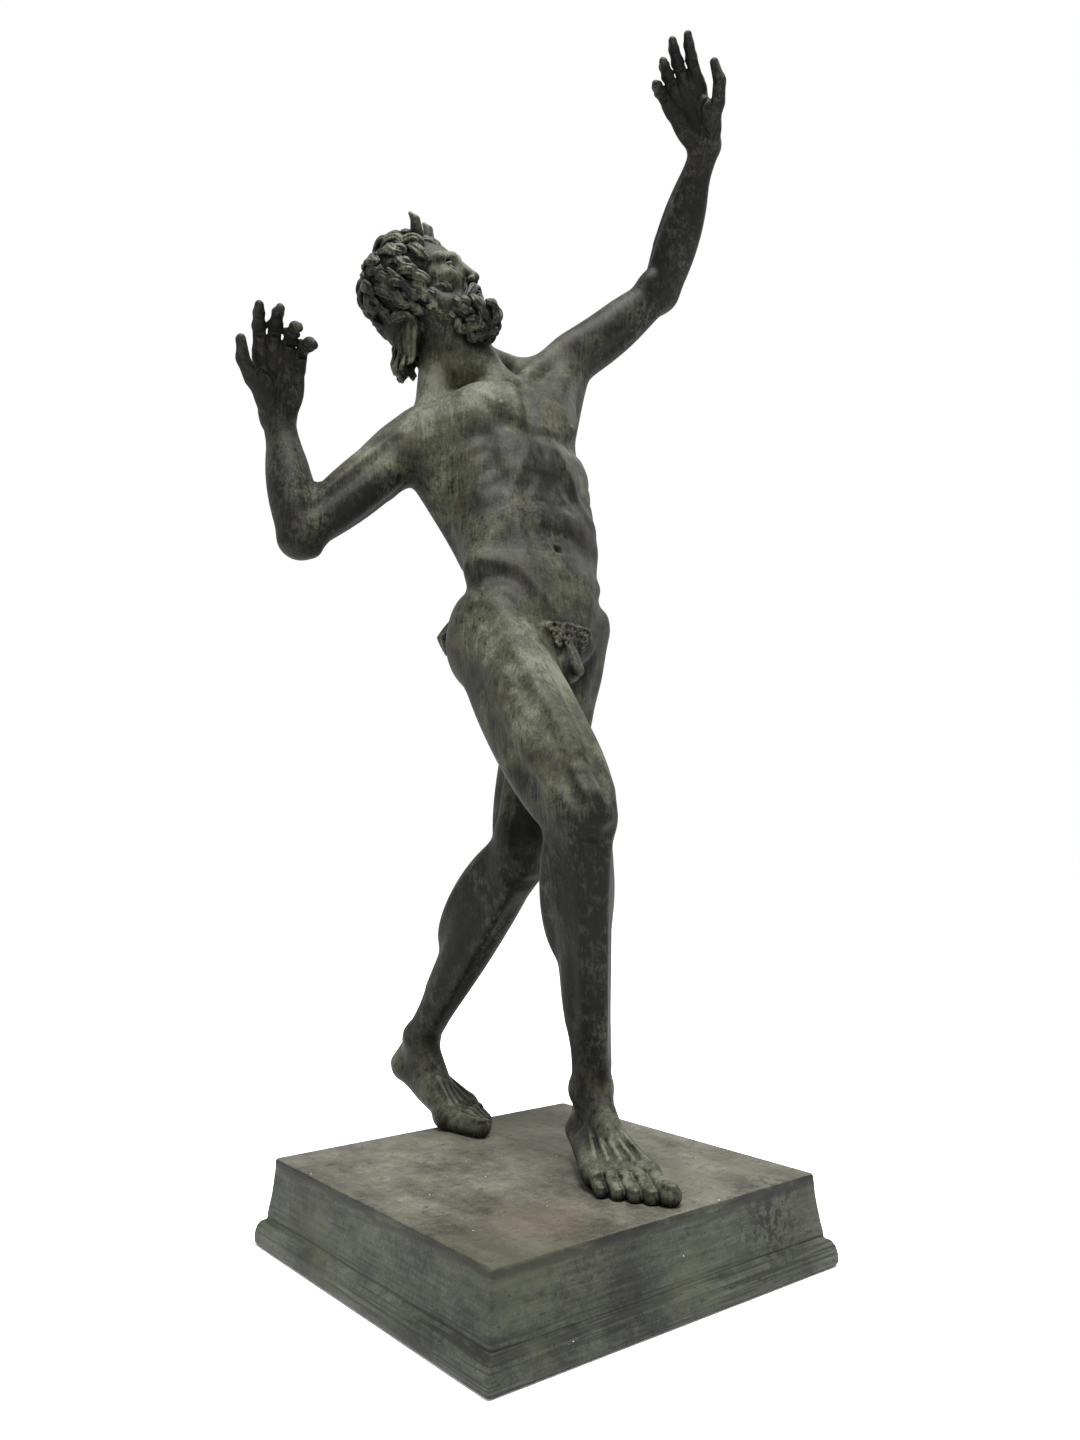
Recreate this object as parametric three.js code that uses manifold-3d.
// A bronze dancing faun, about 0.8 m tall, on its own moulded square plinth.
// The figure is worked out at the size of a man of 1750 mm, in millimetres, with z = 0
// on the plinth's top, and is then brought down to the statue's size. It faces -Y, and
// its left side is towards +X.
import * as THREE from 'three';
import { mergeVertices } from 'three/addons/utils/BufferGeometryUtils.js';
import Module from 'manifold-3d';

const wasm = await Module();
wasm.setup();

// Driving dimensions, in statue millimetres
const STATUE_SCALE = 0.38;
const PLINTH = { top: 220, neck: 226, base: 237, height: 49, moulding: 17, foot: 4, fillet: 3, edge: 1.2 };
const FOOT_GAP = 0.3;

// Lattice steps for turning a form into facets, in life-size millimetres
const CELL = { body: 36, loins: 13, head: 18, palm: 18.5, foot: 21 };
const STRAND = { finger: [5, 5], toe: [6, 3], horn: [6, 4] };

// Joints of the pose, in life-size millimetres
const PELVIS = [110, 147, 862];
const WAIST = [140, 205, 1020];
const CHEST = [145, 272, 1205];
const NAPE = [122, 338, 1365];
const HEAD = [5, 343, 1532];
const LOOK = { yaw: 30, pitch: 24, crown: [-0.42, 0.1, 1] };
const RIGHT = {
  side: -1,
  hip: [28, 150, 850],
  knee: [3, -118, 520],
  ankle: [64, -54, 112],
  footYaw: -20,
  footPitch: 10,
  shoulder: [-15, 312, 1234],
  elbow: [-238, 352, 1010],
  wrist: [-252, 418, 1244],
  wing: 158,
  slope: 34,
  hand: [-0.12, -0.3, 0.95],
  palm: [-0.25, -1, -0.2],
  curl: 1.1,
};
const LEFT = {
  side: 1,
  hip: [200, 147, 866],
  knee: [68, 126, 458],
  ankle: [30, 376, 137],
  footYaw: 9,
  footPitch: 21,
  shoulder: [279, 302, 1414],
  elbow: [502, 203, 1630],
  wrist: [468, 36, 1854],
  wing: 122,
  slope: 24,
  hand: [-0.7, -0.08, 0.78],
  palm: [-0.7, -0.7, -0.3],
  curl: 0.8,
};

// Vectors as plain arrays
function move(a, b, s = 1) {
  return [a[0] + b[0] * s, a[1] + b[1] * s, a[2] + b[2] * s];
}
function away(a, b) {
  return [a[0] - b[0], a[1] - b[1], a[2] - b[2]];
}
function mix(a, b, t) {
  return move(a, away(b, a), t);
}
function dot(a, b) {
  return a[0] * b[0] + a[1] * b[1] + a[2] * b[2];
}
function cross(a, b) {
  return [a[1] * b[2] - a[2] * b[1], a[2] * b[0] - a[0] * b[2], a[0] * b[1] - a[1] * b[0]];
}
function unit(a) {
  const length = Math.hypot(...a);
  return [a[0] / length, a[1] / length, a[2] / length];
}
function square(a, axis) {
  return unit(move(a, axis, -dot(a, axis)));
}

// Forms. A region is a list of them, in the order in which they are blended together.
// A cone is a round limb from a to b, and an egg is an ellipsoid on three axes. A cut
// form is taken out of what comes before it.
function cone(region, a, b, ra, rb, blend, cut = false) {
  const axis = away(b, a);
  const square2 = Math.max(dot(axis, axis), 1e-6);
  const reach = Math.max(ra, rb) + blend;
  region.push({
    cut,
    blend,
    low: a.map((v, i) => Math.min(v, b[i]) - reach),
    high: a.map((v, i) => Math.max(v, b[i]) + reach),
    gap(x, y, z) {
      const px = x - a[0], py = y - a[1], pz = z - a[2];
      const t = Math.min(1, Math.max(0, (px * axis[0] + py * axis[1] + pz * axis[2]) / square2));
      return Math.hypot(px - t * axis[0], py - t * axis[1], pz - t * axis[2]) - ra - (rb - ra) * t;
    },
  });
}
function egg(region, centre, axes, radii, blend, cut = false) {
  const [u, v, w] = axes;
  const [ru, rv, rw] = radii;
  const reach = centre.map((_, i) => Math.hypot(u[i] * ru, v[i] * rv, w[i] * rw) + blend);
  region.push({
    cut,
    blend,
    low: move(centre, reach, -1),
    high: move(centre, reach),
    gap(x, y, z) {
      const p = [x - centre[0], y - centre[1], z - centre[2]];
      const a = dot(p, u) / ru, b = dot(p, v) / rv, c = dot(p, w) / rw;
      const size = Math.hypot(a, b, c);
      return size * (size - 1) / Math.max(Math.hypot(a / ru, b / rv, c / rw), 1e-6);
    },
  });
}

// A frame is a place with its own directions: out to the figure's left, front and up.
function frame(origin, left, up) {
  const w = unit(up);
  const u = square(left, w);
  return { origin, u, v: cross(u, w), w };
}
function place(at, left, front, up) {
  return move(move(move(at.origin, at.u, left), at.v, front), at.w, up);
}
function lump(region, at, centre, radii, blend, cut = false) {
  egg(region, place(at, ...centre), [at.u, at.v, at.w], radii, blend, cut);
}
function ridge(region, at, a, b, ra, rb, blend, cut = false) {
  cone(region, place(at, ...a), place(at, ...b), ra, rb, blend, cut);
}

// A bone has its own outward and front directions. A spot on it is given by the share of
// its length, and by millimetres outwards and to the front.
function bone(a, b, front, side) {
  const w = unit(away(b, a));
  const v = square(front, w);
  const u = cross(v, w).map((value) => value * side);
  return { a, u, v, w, length: Math.hypot(...away(b, a)) };
}
function spot(limb, along, out, front) {
  const onAxis = move(limb.a, limb.w, along * limb.length);
  return move(move(onAxis, limb.u, out), limb.v, front);
}
// A muscle is an egg from one spot to another, broad around the bone and thin across it.
function muscle(region, limb, from, to, width, depth, blend) {
  const a = spot(limb, ...from);
  const b = spot(limb, ...to);
  const centre = mix(a, b, 0.5);
  const long = unit(away(b, a));
  const fromBone = away(centre, limb.a);
  const outward = square(move(fromBone, limb.w, -dot(fromBone, limb.w)), long);
  const radii = [Math.hypot(...away(b, a)) / 2, width, depth];
  egg(region, centre, [long, cross(outward, long), outward], radii, blend);
}
function sinew(region, limb, from, to, ra, rb, blend, cut = false) {
  cone(region, spot(limb, ...from), spot(limb, ...to), ra, rb, blend, cut);
}

// Legs
function leg(region, J) {
  const down = unit(away(J.knee, J.hip));
  const shin = unit(away(J.ankle, J.knee));
  const front = away(down, shin);
  const thigh = bone(J.hip, J.knee, front, J.side);
  const shank = bone(J.knee, J.ankle, front, J.side);
  cone(region, J.hip, J.knee, 76, 46, 20);
  muscle(region, thigh, [-0.1, 8, 40], [0.94, 2, 38], 38, 36, 16);
  muscle(region, thigh, [-0.06, 36, 8], [0.95, 32, 18], 46, 38, 14);
  muscle(region, thigh, [0.36, -28, 22], [1.0, -36, 20], 32, 29, 12);
  muscle(region, thigh, [-0.14, -36, -6], [0.74, -22, -8], 54, 44, 16);
  muscle(region, thigh, [-0.16, 24, -50], [1.02, 28, -36], 46, 44, 20);
  muscle(region, thigh, [-0.16, -16, -50], [1.0, -22, -36], 41, 42, 16);
  sinew(region, thigh, [0.97, 18, 8], [1.06, 16, 6], 35, 31, 14);
  sinew(region, thigh, [0.97, -20, 6], [1.06, -18, 4], 36, 32, 14);
  egg(region, spot(thigh, 1.0, 0, 36), [thigh.u, thigh.v, thigh.w], [22, 14, 27], 10);
  cone(region, J.knee, J.ankle, 41, 29, 18);
  sinew(region, shank, [0.02, 0, 28], [0.14, 0, 30], 14, 13, 14);
  muscle(region, shank, [-0.04, -20, -24], [0.6, -18, -45], 39, 40, 14);
  muscle(region, shank, [-0.04, 20, -26], [0.54, 20, -43], 37, 38, 14);
  muscle(region, shank, [0.1, 0, -16], [0.92, 0, -24], 40, 30, 14);
  sinew(region, shank, [0.5, 0, -32], [1.0, 0, -38], 14, 12, 18);
  muscle(region, shank, [-0.02, 20, 20], [0.84, 6, 16], 24, 21, 12);
  sinew(region, shank, [0.1, -8, 34], [0.9, -6, 14], 14, 13, 12);
}

// A foot stands on its ball, with the heel lifted by footPitch. Its frame is at the ball,
// and the ball sinks a little, so that the sole is cut flat on the plinth.
const FOOT_SIZE = 1.12;
const BALL_HEIGHT = 19 * FOOT_SIZE;
const SOLE_CUT = 5;
const TOE_ROOT = 16;
const ANKLE_FROM_BALL = { back: 131 * FOOT_SIZE, up: 66 * FOOT_SIZE };
function footFrame(J) {
  const yaw = THREE.MathUtils.degToRad(J.footYaw);
  const pitch = THREE.MathUtils.degToRad(J.footPitch);
  const level = [Math.sin(yaw), -Math.cos(yaw), 0];
  const ahead = [level[0] * Math.cos(pitch), level[1] * Math.cos(pitch), -Math.sin(pitch)];
  const out = unit(cross(level, [0, 0, 1])).map((value) => -value * J.side);
  const up = unit(cross(ahead, out).map((value) => value * J.side));
  const ball = move(move(J.ankle, ahead, ANKLE_FROM_BALL.back), up, -ANKLE_FROM_BALL.up);
  ball[2] = BALL_HEIGHT - SOLE_CUT;
  return { ball, level, ahead, out, up };
}
function onFoot(F, back, out, up) {
  const [b, o, u] = [back, out, up].map((value) => value * FOOT_SIZE);
  return move(move(move(F.ball, F.ahead, -b), F.out, o), F.up, u);
}
function foot(region, J) {
  const F = footFrame(J);
  const axes = [F.out, F.ahead, F.up];
  cone(region, mix(J.knee, J.ankle, 0.78), J.ankle, 22, 34, 10);
  cone(region, J.ankle, onFoot(F, 60, -4, 16), 34, 28, 18);
  egg(region, move(J.ankle, F.out, -30), axes, [12, 15, 17], 10);
  egg(region, move(move(J.ankle, F.out, 30), F.ahead, -6), axes, [11, 13, 18], 10);
  egg(region, onFoot(F, 156, 2, 4), axes, [27, 32, 28], 20);
  cone(region, onFoot(F, 154, 0, 56), onFoot(F, 164, 0, 14), 15, 21, 18);
  cone(region, onFoot(F, 150, 12, -4), onFoot(F, 20, 34, -4), 22, 18, 18);
  for (let ray = 0; ray < 5; ray += 1) {
    const root = onFoot(F, 100, -8 + 5 * ray, 24 - 5 * ray);
    cone(region, root, onFoot(F, 6 + 6 * ray, -28 + 16 * ray, 2), 22 - ray, 18 - ray, 12);
  }
  egg(region, onFoot(F, 4, -31, 0), axes, [20, 26, 20], 12);
  egg(region, onFoot(F, 60, 0, 0), axes, [34, 56, 18], 12);
}
// Toes run level from the ball, the big toe on the inner side.
function toes(J) {
  const F = footFrame(J);
  const list = [];
  for (let toe = 0; toe < 5; toe += 1) {
    const size = (toe === 0 ? 15 : 10.8 - 0.6 * toe) * FOOT_SIZE;
    const reach = [66, 60, 52, 43, 33][toe] * FOOT_SIZE;
    const aside = (-29 + 16 * toe + (toe ? 3 : 0)) * FOOT_SIZE;
    const knuckle = move(move(F.ball, F.out, aside), F.level, 2 - 6 * toe);
    const root = move(knuckle, F.level, -TOE_ROOT);
    const bend = move(move(knuckle, F.level, reach * 0.4), [0, 0, 1], toe ? 3 : -4);
    const tip = move(move(knuckle, F.level, reach), [0, 0, 1], size - BALL_HEIGHT);
    list.push({ points: [root, bend, tip], radii: [size, size, size * 0.95] });
  }
  return list;
}

// Arms
function arm(region, J) {
  const upperWay = unit(away(J.elbow, J.shoulder));
  const lowerWay = unit(away(J.wrist, J.elbow));
  const upper = bone(J.shoulder, J.elbow, lowerWay, J.side);
  const lower = bone(J.elbow, J.wrist, upperWay.map((value) => -value), J.side);
  cone(region, J.shoulder, J.elbow, 47, 36, 18);
  muscle(region, upper, [-0.18, 15, 4], [0.52, 14, 4], 54, 37, 14);
  muscle(region, upper, [0.08, -2, 18], [0.98, 0, 15], 38, 33, 12);
  muscle(region, upper, [0.04, 2, -18], [0.9, 0, -17], 40, 33, 12);
  egg(region, spot(upper, 0.98, 0, -18), [upper.u, upper.v, upper.w], [24, 22, 28], 16);
  cone(region, J.elbow, J.wrist, 35, 25, 12);
  muscle(region, lower, [-0.12, 17, 4], [0.84, 12, 2], 36, 32, 10);
  muscle(region, lower, [-0.08, -18, 0], [0.84, -12, 2], 36, 32, 10);
  muscle(region, lower, [0.0, 0, -15], [0.76, 0, -10], 33, 25, 12);
}

// Trunk
function trunk(region) {
  const pelvis = frame(PELVIS, away(LEFT.hip, RIGHT.hip), [0.06, 0.22, 1]);
  const waist = frame(WAIST, [1, -0.03, 0.1], away(CHEST, PELVIS));
  const chest = frame(CHEST, [1, -0.05, 0.2], away(NAPE, WAIST));
  lump(region, pelvis, [0, -6, 0], [134, 100, 96], 10);
  lump(region, waist, [0, -4, 0], [120, 88, 150], 50);
  lump(region, chest, [0, -8, -20], [143, 108, 175], 50);
  lump(region, chest, [-8, -8, 72], [118, 90, 84], 40);
  cone(region, NAPE, HEAD, 60, 54, 20);
  for (const J of [RIGHT, LEFT]) {
    const s = J.side;
    const neckSide = move(mix(NAPE, HEAD, 0.45), [s * 30, 0, 0]);
    // Trapezius, shoulder blade and the broad muscle of the back
    cone(region, neckSide, move(J.shoulder, [-s * 20, 6, 10]), J.slope, 34, 30);
    cone(region, place(chest, s * 40, -30, 90), J.shoulder, 50, 44, 34);
    cone(region, place(chest, s * 85, -64, 40), place(chest, s * 70, -78, -40), 42, 34, 24);
    const wing = place(chest, s * J.wing, -26, 14);
    cone(region, wing, place(chest, s * 94, -40, -190), 48, 32, 28);
    cone(region, wing, mix(J.shoulder, J.elbow, 0.22), 40, 34, 30);
    // Breast muscle, from the breastbone to the arm
    const breast = place(chest, s * 64, 82, 42);
    const armSide = mix(J.shoulder, J.elbow, 0.16);
    const way = unit(away(armSide, place(chest, s * 20, 84, 30)));
    const facing = square(chest.v, way);
    egg(region, breast, [way, cross(facing, way), facing], [80, 60, 23], 16);
    cone(region, place(chest, s * 74, 66, 50), armSide, 38, 30, 30);
    // Flank muscles and the hip bone's crest
    cone(region, place(waist, s * 96, 14, 20), place(pelvis, s * 112, 22, 78), 34, 30, 26);
    cone(region, place(chest, s * 108, 50, -60), place(waist, s * 92, 44, 10), 30, 30, 26);
    // Buttocks
    lump(region, pelvis, [s * 66, -54, -34], [70, 60, 84], 30);
    lump(region, pelvis, [s * 94, -10, -46], [52, 62, 90], 30);
    cone(region, place(chest, s * 26, -96, -40), place(pelvis, s * 26, -88, 70), 28, 28, 22);
    // Collarbone and the long muscle of the neck
    cone(region, place(chest, s * 14, 76, 128), move(J.shoulder, [-s * 24, -22, 22]), 11, 13, 14);
    cone(region, place(chest, s * 12, 74, 132), move(HEAD, [s * 48, -10, -50]), 14, 20, 14);
  }
  // Belly in four pairs of low pads, with the line between them
  for (let row = 0; row < 4; row += 1) {
    for (const s of [-1, 1]) {
      const from = place(chest, s * 26, 92, -78 - 50 * row);
      const to = place(pelvis, s * 26, 88, 100 - 46 * row);
      const pad = mix(from, to, row / 3);
      const at = frame(pad, waist.u, waist.w);
      lump(region, at, [0, -6, 0], [38, 17, 38 + 8 * (row === 3)], 16);
    }
  }
  lump(region, pelvis, [0, 62, -62], [52, 34, 46], 24);
  // Furrows: spine, middle of the breast and belly, buttocks, groin and navel
  ridge(region, chest, [0, -128, 60], [0, -118, -150], 12, 14, 20, true);
  ridge(region, chest, [0, 112, 70], [0, 118, -60], 9, 9, 16, true);
  ridge(region, pelvis, [0, -142, 10], [0, -130, -110], 14, 12, 14, true);
  for (const s of [-1, 1]) {
    ridge(region, pelvis, [s * 124, 72, 44], [s * 52, 106, -58], 8, 8, 14, true);
  }
  lump(region, pelvis, [0, 106, 92], [7, 18, 9], 8, true);
}

// Loins and tail
function loins(region) {
  const pelvis = frame(PELVIS, away(LEFT.hip, RIGHT.hip), [0.06, 0.22, 1]);
  const hairRows = 3;
  for (let row = 0; row < hairRows; row += 1) {
    const half = 2 - row / 2;
    for (let k = -half; k <= half; k += 1) {
      lump(region, pelvis, [k * 19, 94 - 2 * row, -50 - 16 * row], [14, 13, 13], 6);
    }
  }
  lump(region, pelvis, [0, 88, -112], [25, 21, 27], 8);
  ridge(region, pelvis, [0, 100, -90], [1, 112, -122], 13, 11, 6);
}
function tail() {
  const pelvis = frame(PELVIS, away(LEFT.hip, RIGHT.hip), [0.06, 0.22, 1]);
  const points = [[0, -84, 52], [0, -118, 62], [-6, -142, 40], [-14, -146, 8], [-10, -132, -8]];
  return { points: points.map((p) => place(pelvis, ...p)), radii: [15, 15, 16, 14, 8] };
}

// Head: plain proportions, with a full beard, thick curls and two short horns
function headFrame() {
  const yaw = THREE.MathUtils.degToRad(LOOK.yaw);
  const pitch = THREE.MathUtils.degToRad(LOOK.pitch);
  const front = [Math.sin(yaw) * Math.cos(pitch), -Math.cos(yaw) * Math.cos(pitch), Math.sin(pitch)];
  const up = square(LOOK.crown, front);
  return frame(HEAD, cross(up, front), up);
}
function head(region) {
  const at = headFrame();
  cone(region, mix(NAPE, HEAD, 0.5), HEAD, 53, 52, 10);
  lump(region, at, [0, -14, 20], [75, 94, 82], 10);
  lump(region, at, [0, 26, -28], [58, 60, 80], 20);
  lump(region, at, [0, 34, -72], [50, 50, 36], 20);
  lump(region, at, [0, 76, -96], [22, 16, 17], 14);
  ridge(region, at, [0, 84, 14], [0, 106, -32], 8, 11, 7);
  for (const s of [-1, 1]) {
    ridge(region, at, [s * 12, 84, 18], [s * 46, 68, 16], 8, 9, 10);
    lump(region, at, [s * 47, 54, -20], [19, 26, 18], 14);
    lump(region, at, [s * 31, 86, -1], [17, 12, 13], 8, true);
    lump(region, at, [s * 30, 70, -2], [15, 14, 14], 3);
    lump(region, at, [s * 11, 93, -36], [8, 10, 8], 5);
    // Pointed ear, and the beard down the cheek
    ridge(region, at, [s * 74, -4, -22], [s * 84, -18, 26], 13, 6, 8);
    ridge(region, at, [s * 66, 20, -38], [s * 40, 62, -92], 14, 22, 10);
    ridge(region, at, [s * 10, 94, -50], [s * 26, 84, -60], 7, 6, 5);
  }
  lump(region, at, [0, 90, -68], [20, 9, 8], 5);
  lump(region, at, [0, 70, -104], [48, 34, 34], 14);
  // The mass of hair under the curls
  lump(region, at, [0, -20, 28], [82, 90, 84], 6);
  lump(region, at, [0, -62, -36], [62, 44, 60], 14);
}
// Curls stand all over the hair and the beard. Each is a hooked lock whose root lies on
// an egg around the skull, and they follow a spiral, so that they are evenly spread.
function curls(count, centre, radii, wanted, size) {
  const at = headFrame();
  const list = [];
  const goldenTurn = Math.PI * (3 - Math.sqrt(5));
  for (let i = 0; i < count; i += 1) {
    const up = 1 - (2 * i + 1) / count;
    const level = Math.sqrt(1 - up * up);
    const way = [level * Math.cos(goldenTurn * i), level * Math.sin(goldenTurn * i), up];
    if (!wanted(way)) continue;
    const hand = i % 2 ? 1 : -1;
    const round = unit(cross(way, [0.2 * hand, 0.3, 1]));
    const down = cross(round, way);
    const root = centre.map((c, d) => c + radii[d] * way[d]);
    const steps = [[0, 0, -4], [0.7, 0.5, 9], [1.3 * hand, 1.1, 11], [0.6 * hand, 1.9, 5]];
    const points = steps.map(([aside, lower, proud]) => place(at, ...root.map((r, d) => (
      r + round[d] * aside * size * hand + down[d] * lower * size + way[d] * proud))));
    list.push({ points, radii: [size, size * 0.95, size * 0.75, size * 0.35] });
  }
  return list;
}
function chain(region, { points, radii }, blend) {
  for (let i = 1; i < points.length; i += 1) {
    cone(region, points[i - 1], points[i], radii[i - 1], radii[i], blend);
  }
}
function hair() {
  const isScalp = ([, front, up]) => front < 0.25 + 0.55 * up && up > -0.75;
  return curls(64, [0, -20, 16], [80, 86, 96], isScalp, 17);
}
// Longer locks hang straight down behind the neck, in soft waves.
function napeLocks() {
  const at = headFrame();
  const count = 6;
  return Array.from({ length: count }, (_, i) => {
    const turn = THREE.MathUtils.degToRad(-75 + 150 * i / (count - 1));
    const root = place(at, 58 * Math.sin(turn), -16 - 60 * Math.cos(turn), -44);
    const wave = i % 2 ? 8 : -8;
    const hang = (aside, drop) => move(move(root, at.u, aside), [0, 0, -1], drop);
    return { points: [root, hang(wave, 34), hang(-wave, 66), hang(wave, 96)], radii: [20, 19, 15, 6] };
  });
}
function beard() {
  const isChin = ([, front, up]) => front > -0.25 && up < 0.45 - 0.5 * front;
  return curls(36, [0, 52, -84], [58, 46, 46], isChin, 13);
}
function horns() {
  const at = headFrame();
  return [-1, 1].map((s) => ({
    points: [[s * 30, 52, 84], [s * 35, 66, 104], [s * 36, 66, 126]].map((p) => place(at, ...p)),
    radii: [13, 10, 4],
  }));
}

// Hands: [thumb side, palm side, along], from the wrist
function handFrame(J) {
  const w = unit(J.hand);
  const v = square(J.palm, w);
  return { origin: J.wrist, u: cross(w, v).map((value) => value * J.side), v, w };
}
const HAND_SIZE = 1.16;
const KNUCKLES = [
  { root: [30, -2, 94], length: 76, lean: 7, curl: [14, 22, 16] },
  { root: [10, -4, 97], length: 85, lean: 1, curl: [22, 28, 20] },
  { root: [-10, -3, 92], length: 78, lean: -4, curl: [30, 34, 22] },
  { root: [-28, 1, 84], length: 62, lean: -11, curl: [34, 36, 24] },
];
function inHand(at, p) {
  return place(at, ...p.map((value) => value * HAND_SIZE));
}
function palm(region, J) {
  const at = handFrame(J);
  cone(region, mix(J.elbow, J.wrist, 0.72), J.wrist, 20, 27, 8);
  lump(region, at, [0, 0, 4], [32, 23, 30], 10);
  for (const { root } of KNUCKLES) {
    cone(region, inHand(at, [root[0] * 0.5, -2, 12]), inHand(at, root), 16, 13, 10);
  }
  egg(region, inHand(at, [24, 12, 38]), [at.u, at.v, at.w], [19, 15, 37], 10);
  egg(region, inHand(at, [-24, 8, 44]), [at.u, at.v, at.w], [15, 13, 37], 10);
}
function fingers(J) {
  const at = handFrame(J);
  const list = KNUCKLES.map(({ root, length, lean, curl }) => {
    const tilt = THREE.MathUtils.degToRad(lean);
    const points = [[root[0], root[1], root[2] - 10], root];
    let bend = 0;
    [0.46, 0.3, 0.24].forEach((share, joint) => {
      bend += THREE.MathUtils.degToRad(curl[joint] * J.curl);
      const way = [Math.sin(tilt), Math.sin(bend), Math.cos(bend) * Math.cos(tilt)];
      points.push(move(points[points.length - 1], way, share * length));
    });
    return { points: points.map((p) => inHand(at, p)), radii: [12, 11.5, 10.5, 9.5, 7.5] };
  });
  const thumb = [[14, 10, 22], [44, 20, 50], [58, 24, 78], [62, 22, 106]];
  list.push({ points: thumb.map((p) => inHand(at, p)), radii: [16, 13.5, 12, 8.5] });
  return list;
}

// Facets for a region: a lattice of cubes is laid over it, each cube that the surface
// crosses gets one corner, and each crossed lattice edge gets two triangles.
function gapAt(region, x, y, z) {
  let gap = 1e4;
  for (const form of region) {
    const own = form.cut ? -form.gap(x, y, z) : form.gap(x, y, z);
    const overlap = Math.max(form.blend - Math.abs(gap - own), 0);
    const fillet = overlap * overlap / form.blend / 4;
    gap = form.cut ? Math.max(gap, own) + fillet : Math.min(gap, own) - fillet;
  }
  return gap;
}
function facets(region, cell) {
  const solidForms = region.filter((form) => !form.cut);
  const low = [0, 1, 2].map((i) => Math.min(...solidForms.map((form) => form.low[i])) - cell);
  const high = [0, 1, 2].map((i) => Math.max(...solidForms.map((form) => form.high[i])) + cell);
  const n = low.map((v, i) => Math.ceil((high[i] - v) / cell) + 1);
  const step = [1, n[0], n[0] * n[1]];
  const value = new Float64Array(n[0] * n[1] * n[2]);
  for (let k = 0, at = 0; k < n[2]; k += 1) {
    for (let j = 0; j < n[1]; j += 1) {
      for (let i = 0; i < n[0]; i += 1, at += 1) {
        value[at] = gapAt(region, low[0] + i * cell, low[1] + j * cell, low[2] + k * cell);
      }
    }
  }
  clearPinches(value, n, step, -0.12 * cell);
  const corners = [];
  for (let c = 0; c < 8; c += 1) corners.push([c & 1, (c >> 1) & 1, (c >> 2) & 1]);
  const vertexOf = new Int32Array(value.length).fill(-1);
  const positions = [];
  for (let k = 0; k < n[2] - 1; k += 1) {
    for (let j = 0; j < n[1] - 1; j += 1) {
      for (let i = 0; i < n[0] - 1; i += 1) {
        const at = i + j * step[1] + k * step[2];
        const sum = [0, 0, 0];
        let count = 0;
        for (let c = 0; c < 8; c += 1) {
          for (let axis = 0; axis < 3; axis += 1) {
            if (corners[c][axis]) continue;
            const a = value[at + dot(corners[c], step)];
            const b = value[at + dot(corners[c], step) + step[axis]];
            if ((a < 0) === (b < 0)) continue;
            const t = a / (a - b);
            for (let d = 0; d < 3; d += 1) sum[d] += corners[c][d] + (d === axis ? t : 0);
            count += 1;
          }
        }
        if (!count) continue;
        vertexOf[at] = positions.length / 3;
        const rough = [i, j, k].map((v, d) => low[d] + (v + sum[d] / count) * cell);
        positions.push(...settle(region, rough, cell));
      }
    }
  }
  const triangles = [];
  for (let k = 1; k < n[2] - 1; k += 1) {
    for (let j = 1; j < n[1] - 1; j += 1) {
      for (let i = 1; i < n[0] - 1; i += 1) {
        const at = i + j * step[1] + k * step[2];
        for (let axis = 0; axis < 3; axis += 1) {
          const inside = value[at] < 0;
          if (inside === (value[at + step[axis]] < 0)) continue;
          const one = step[(axis + 1) % 3], two = step[(axis + 2) % 3];
          const ring = [at - one - two, at - two, at, at - one].map((cube) => vertexOf[cube]);
          if (!inside) ring.reverse();
          triangles.push(...shorterSplit(positions, ring));
        }
      }
    }
  }
  return asSolid(positions, triangles);
}
// Slides a corner onto the surface along its slope, by no more than part of a cube.
function settle(region, start, cell) {
  let p = start;
  for (let turn = 0; turn < 3; turn += 1) {
    const gap = gapAt(region, ...p);
    const h = 0.5;
    const slope = [0, 1, 2].map((i) => {
      const q = [...p];
      q[i] += h;
      return (gapAt(region, ...q) - gap) / h;
    });
    const steep = Math.max(dot(slope, slope), 0.1);
    p = move(p, slope, -gap / steep);
  }
  const shift = away(p, start);
  const length = Math.hypot(...shift);
  const most = 0.45 * cell;
  return length > most ? move(start, shift, most / length) : p;
}
// Where two parts of a surface would meet only at an edge or a corner, a lattice point
// between them is filled, until no such pinch is left.
function clearPinches(value, n, step, fill) {
  const corner = (at, q) => at + (q & 1) * step[0] + ((q >> 1) & 1) * step[1] + (q >> 2) * step[2];
  const isIn = (point) => value[point] < 0;
  let found = true;
  while (found) {
    found = false;
    for (let k = 0; k < n[2] - 1; k += 1) {
      for (let j = 0; j < n[1] - 1; j += 1) {
        for (let i = 0; i < n[0] - 1; i += 1) {
          const at = i + j * step[1] + k * step[2];
          const holes = [];
          for (let axis = 0; axis < 3; axis += 1) {
            const one = step[(axis + 1) % 3];
            const two = step[(axis + 2) % 3];
            const face = [at, at + one, at + one + two, at + two];
            const [a, b, c, d] = face.map(isIn);
            if (a === c && b === d && a !== b) holes.push(a ? face[1] : face[0]);
          }
          for (let q = 0; q < 4; q += 1) {
            const pair = [q, 7 - q].map((each) => isIn(corner(at, each)));
            const rest = [0, 1, 2, 3, 4, 5, 6, 7].filter((each) => each !== q && each !== 7 - q);
            const full = rest.filter((each) => isIn(corner(at, each))).length;
            if (pair[0] && pair[1] && full === 0) holes.push(corner(at, q ^ 1), corner(at, q ^ 3));
            if (!pair[0] && !pair[1] && full === 6) holes.push(corner(at, q));
          }
          for (const hole of holes) value[hole] = fill;
          if (holes.length) found = true;
        }
      }
    }
  }
}
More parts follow.
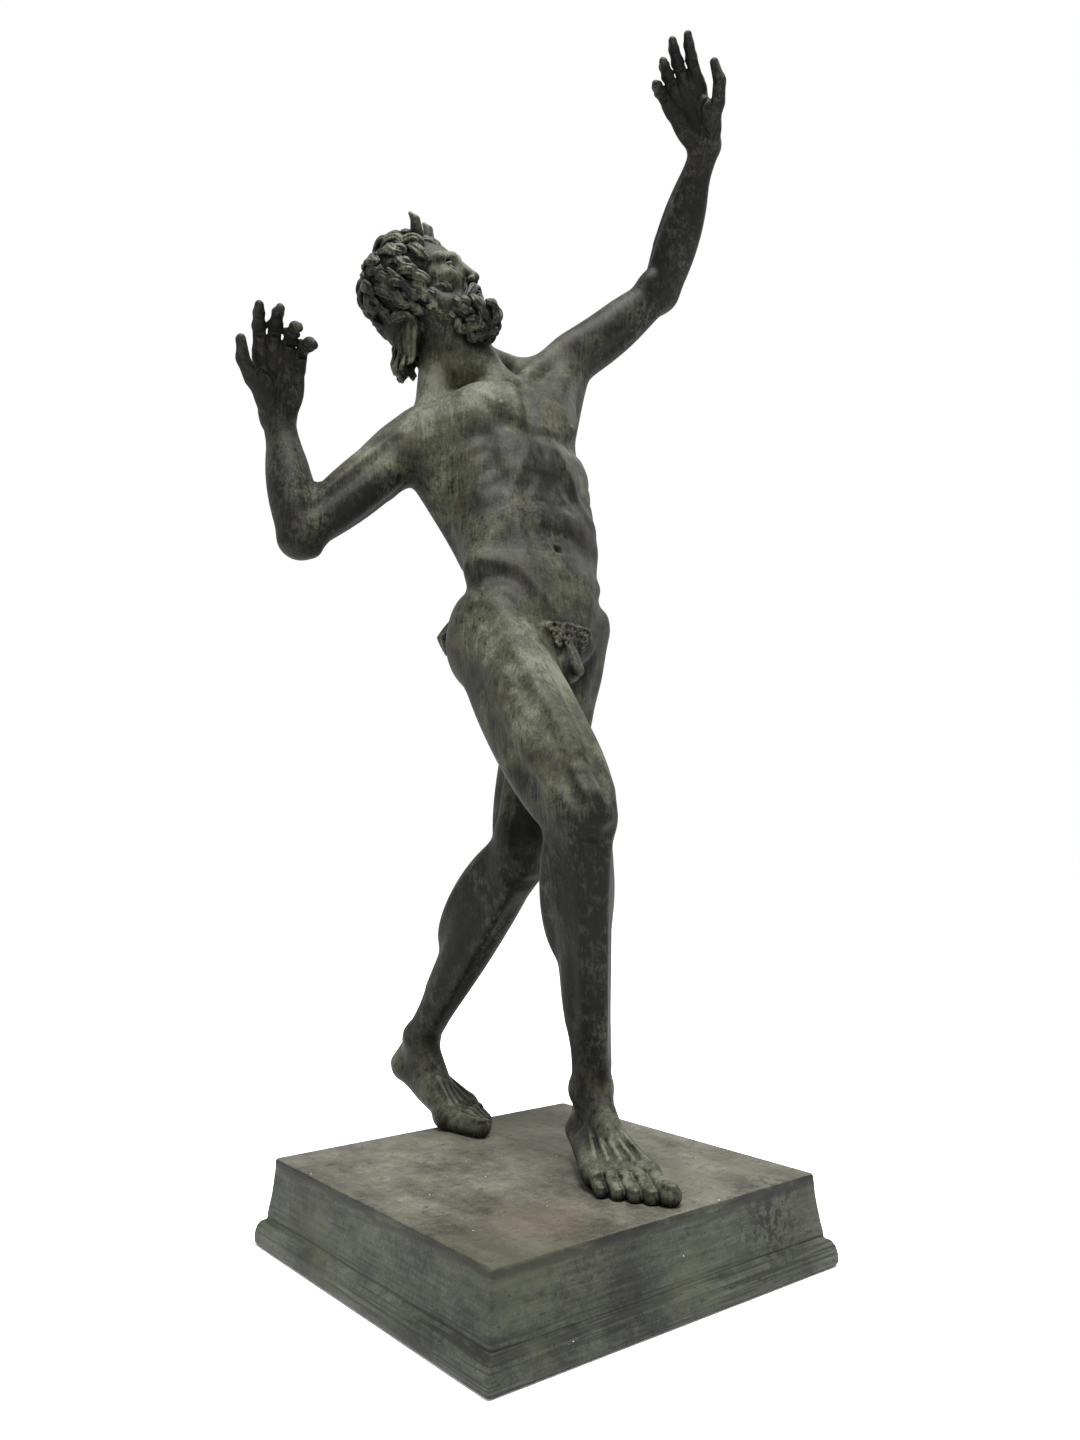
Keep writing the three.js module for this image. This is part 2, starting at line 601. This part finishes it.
function shorterSplit(positions, ring) {
  const point = (v) => positions.slice(3 * v, 3 * v + 3);
  const [a, b, c, d] = ring;
  const ac = Math.hypot(...away(point(a), point(c)));
  const bd = Math.hypot(...away(point(b), point(d)));
  return ac < bd ? [a, b, c, a, c, d] : [b, c, d, b, d, a];
}

// Solids are joined and cut as closed meshes.
function asSolid(positions, triangles) {
  return new wasm.Manifold(new wasm.Mesh({
    numProp: 3,
    vertProperties: Float32Array.from(positions),
    triVerts: Uint32Array.from(triangles),
  }));
}
function geometrySolid(geometry) {
  geometry.deleteAttribute('normal');
  geometry.deleteAttribute('uv');
  const closed = mergeVertices(geometry, 1e-4);
  return asSolid(closed.attributes.position.array, closed.index.array);
}
// A strand is a bent spindle: a finger, a toe, a horn or the tail. Its points are run
// through by a curve, and it is as thick at each as the radii say.
function strand({ points, radii }, [sides, stations]) {
  const endShare = 0.62;
  const curve = new THREE.CatmullRomCurve3(points.map((p) => new THREE.Vector3(...p)));
  const frames = curve.computeFrenetFrames(stations, false);
  const spindle = [new THREE.Vector2(0, 0)];
  for (let i = 0; i <= stations; i += 1) spindle.push(new THREE.Vector2(1, i));
  spindle.push(new THREE.Vector2(0, stations));
  const geometry = new THREE.LatheGeometry(spindle, sides);
  const position = geometry.attributes.position;
  for (let i = 0; i < position.count; i += 1) {
    const station = Math.round(position.getY(i));
    const along = station / stations;
    const onList = along * (radii.length - 1);
    const index = Math.min(Math.floor(onList), radii.length - 2);
    const radius = THREE.MathUtils.lerp(radii[index], radii[index + 1], onList - index);
    const isPole = Math.hypot(position.getX(i), position.getZ(i)) < 0.5;
    const isEnd = station === 0 || station === stations;
    const thick = isEnd ? radius * endShare : radius;
    const lift = isPole ? (station === 0 ? -radius : radius) : 0;
    const centre = curve.getPoint(along);
    centre.addScaledVector(frames.normals[station], -position.getX(i) * thick);
    centre.addScaledVector(frames.binormals[station], position.getZ(i) * thick);
    centre.addScaledVector(frames.tangents[station], isEnd && !isPole ? 0 : lift);
    position.setXYZ(i, centre.x, centre.y, centre.z);
  }
  return geometrySolid(geometry);
}

// Closed bubbles and specks that the lattice leaves under the curls are dropped.
function mainBody(solid) {
  const bodies = solid.decompose();
  return bodies.reduce((best, each) => (each.volume() > best.volume() ? each : best));
}

// A finished solid becomes a mesh in statue millimetres.
function finished(name, solid, at, scale, material) {
  const { numProp, vertProperties, triVerts } = solid.getMesh();
  const geometry = new THREE.BufferGeometry();
  const position = new Float32Array(3 * vertProperties.length / numProp);
  for (let i = 0; i < position.length; i += 1) {
    position[i] = vertProperties[numProp * Math.floor(i / 3) + (i % 3)] * scale;
  }
  geometry.setAttribute('position', new THREE.BufferAttribute(position, 3));
  geometry.setIndex(new THREE.BufferAttribute(triVerts, 1));
  geometry.computeVertexNormals();
  const part = new THREE.Mesh(geometry, material);
  part.name = name;
  part.position.set(...at);
  return part;
}

// The whole figure
const body = [];
trunk(body);
for (const J of [RIGHT, LEFT]) {
  leg(body, J);
  arm(body, J);
}
let statue = facets(body, CELL.body);
const lap = [];
loins(lap);
statue = statue.add(facets(lap, CELL.loins));
const skull = [];
head(skull);
for (const lock of [...hair(), ...napeLocks(), ...beard()]) chain(skull, lock, 5);
const parts = [facets(skull, CELL.head)];
for (const J of [RIGHT, LEFT]) {
  const feet = [];
  foot(feet, J);
  parts.push(facets(feet, CELL.foot));
  const hands = [];
  palm(hands, J);
  parts.push(facets(hands, CELL.palm));
  for (const toe of toes(J)) parts.push(strand(toe, STRAND.toe));
  for (const finger of fingers(J)) parts.push(strand(finger, STRAND.finger));
}
for (const horn of [...horns(), tail()]) parts.push(strand(horn, STRAND.horn));
for (const part of parts) statue = statue.add(part);
// The soles are cut level by the slab that lies under them
const SLAB = { side: 2000, depth: 400 };
const underfoot = new THREE.BoxGeometry(SLAB.side, SLAB.side, SLAB.depth);
underfoot.translate(0, 0, -SLAB.depth / 2);
statue = mainBody(statue.subtract(geometrySolid(underfoot)));

// The plinth is a four-sided turned shape, with its moulding as the profile
function plinth() {
  const { top, neck, base, height, moulding, foot: step, fillet, edge } = PLINTH;
  const profile = [[0, 0], [base, 0], [base, step]];
  const rise = moulding - step - fillet;
  const inset = base - neck - 2 * edge;
  const roundSteps = 5;
  for (let i = 1; i <= roundSteps; i += 1) {
    const turn = (i / roundSteps) * Math.PI / 2;
    profile.push([base - inset * (1 - Math.cos(turn)), step + rise * Math.sin(turn)]);
  }
  profile.push([neck + edge, moulding - fillet], [neck + edge, moulding - edge], [neck, moulding]);
  profile.push([top, height - edge], [top - 2 * edge, height], [0, height]);
  const corner = Math.SQRT1_2;
  const points = profile.map(([width, z]) => new THREE.Vector2(width * corner, z));
  const geometry = new THREE.LatheGeometry(points, 4);
  geometry.rotateY(Math.PI / 4);
  geometry.rotateX(Math.PI / 2);
  return geometrySolid(geometry);
}

const darkBronze = new THREE.MeshStandardMaterial({ color: 0x484c42, roughness: 0.45, metalness: 0.75 });
const plinthBronze = new THREE.MeshStandardMaterial({ color: 0x54564a, roughness: 0.5, metalness: 0.7 });
const group = new THREE.Group();
group.add(finished('faun', statue, [0, 0, PLINTH.height + FOOT_GAP], STATUE_SCALE, darkBronze));
group.add(finished('plinth', plinth(), [0, 0, 0], 1, plinthBronze));
export default group;
